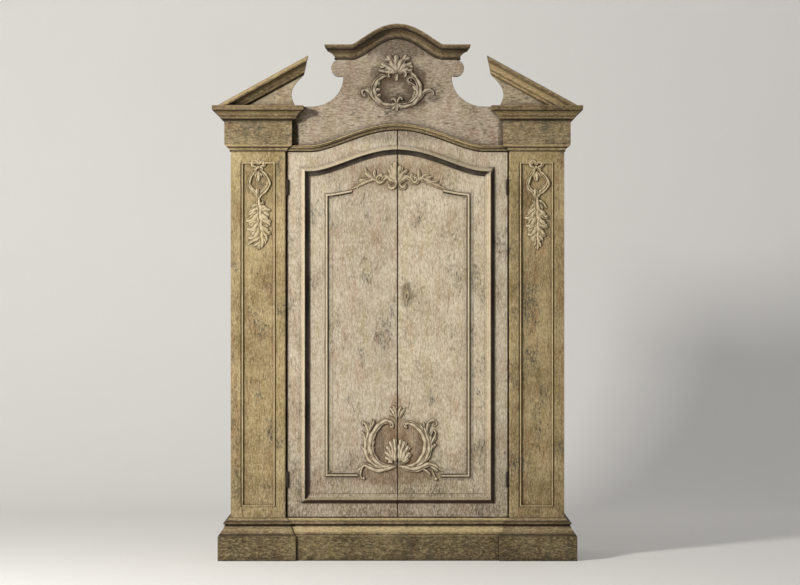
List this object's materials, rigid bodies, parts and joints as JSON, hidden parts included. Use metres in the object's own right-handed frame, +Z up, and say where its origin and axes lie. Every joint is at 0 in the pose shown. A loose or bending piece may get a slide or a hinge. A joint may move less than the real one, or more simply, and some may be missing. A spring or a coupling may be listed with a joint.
{
  "type": "two door wardrobe cupboard",
  "caption": "Tall painted wooden cupboard with arched panelled doors between pilasters, carved ornaments, and a broken pediment with a serpentine centre crest.",
  "frame": {"origin": "on the floor, at the middle of the overall width and depth", "axes": "+Z up, +Y towards the back, +X to the right of someone facing the doors"},
  "size_m": [1.791, 0.6564, 2.6],
  "materials": {
    "cream_paint": "aged cream paint, matt, worn and crackled",
    "ochre_paint": "aged ochre cream paint, matt, worn and speckled",
    "bare_wood": "bare softwood, dry and darkened",
    "dark_iron": "dark wrought iron, lightly rusted"
  },
  "bodies": {
    "case": {"arch_moulding": "cream_paint", "back_board_left": "bare_wood", "back_board_right": "bare_wood", "base_moulding_left": "ochre_paint", "base_moulding_middle": "cream_paint", "base_moulding_right": "ochre_paint", "cap_moulding": "cream_paint", "cartouche": "cream_paint", "carved_drop_left": "ochre_paint", "carved_drop_right": "ochre_paint", "cornice_left": "ochre_paint", "cornice_right": "ochre_paint", "floor_board": "bare_wood", "frieze_block_left": "ochre_paint", "frieze_block_right": "ochre_paint", "hinge_high_case_leaf_left": "dark_iron", "hinge_high_case_leaf_right": "dark_iron", "hinge_low_case_leaf_left": "dark_iron", "hinge_low_case_leaf_right": "dark_iron", "pediment_board": "cream_paint", "pilaster_left": "ochre_paint", "pilaster_right": "ochre_paint", "plinth_block_left": "ochre_paint", "plinth_block_right": "ochre_paint", "plinth_middle": "cream_paint", "raking_cornice_left": "ochre_paint", "raking_cornice_right": "ochre_paint", "shelf_high": "bare_wood", "shelf_low": "bare_wood", "shelf_middle": "bare_wood", "side_board_left": "bare_wood", "side_board_right": "bare_wood", "sill_rail": "bare_wood", "top_board": "bare_wood", "tympanum_left": "cream_paint", "tympanum_right": "cream_paint"},
    "door_left": {"door_frame_left": "cream_paint", "door_panel_left": "cream_paint", "bolection_left": "cream_paint", "bead_left": "cream_paint", "crest_left": "cream_paint", "shell_left": "cream_paint", "hinge_low_door_leaf_left": "dark_iron", "hinge_high_door_leaf_left": "dark_iron", "lock_keeper": "dark_iron", "lower_bolt_guide": "dark_iron", "upper_bolt_guide": "dark_iron"},
    "door_right": {"door_frame_right": "cream_paint", "door_panel_right": "cream_paint", "bolection_right": "cream_paint", "bead_right": "cream_paint", "crest_right": "cream_paint", "shell_right": "cream_paint", "hinge_low_door_leaf_right": "dark_iron", "hinge_high_door_leaf_right": "dark_iron", "lock_case": "dark_iron", "escutcheon": "cream_paint"},
    "lock_bolt": {"lock_bolt": "dark_iron"},
    "upper_bolt": {"upper_bolt": "dark_iron"},
    "lower_bolt": {"lower_bolt": "dark_iron"}
  },
  "joints": [
    {"name": "left_door_hinge", "type": "hinge", "parent": "case", "child": "door_left", "pos_m": [-0.534, -0.23865, 1.1], "axis": [0, 0, -1], "range_deg": [0, 110]},
    {"name": "right_door_hinge", "type": "hinge", "parent": "case", "child": "door_right", "pos_m": [0.534, -0.23865, 1.1], "axis": [0, 0, 1], "range_deg": [0, 110]},
    {"name": "lock_bolt_slide", "type": "slide", "parent": "door_right", "child": "lock_bolt", "axis": [-1, 0, 0], "range_m": [0, 0.012]},
    {"name": "upper_bolt_slide", "type": "slide", "parent": "door_left", "child": "upper_bolt", "axis": [0, 0, 1], "range_m": [0, 0.016]},
    {"name": "lower_bolt_slide", "type": "slide", "parent": "door_left", "child": "lower_bolt", "axis": [0, 0, -1], "range_m": [0, 0.009]}
  ]
}
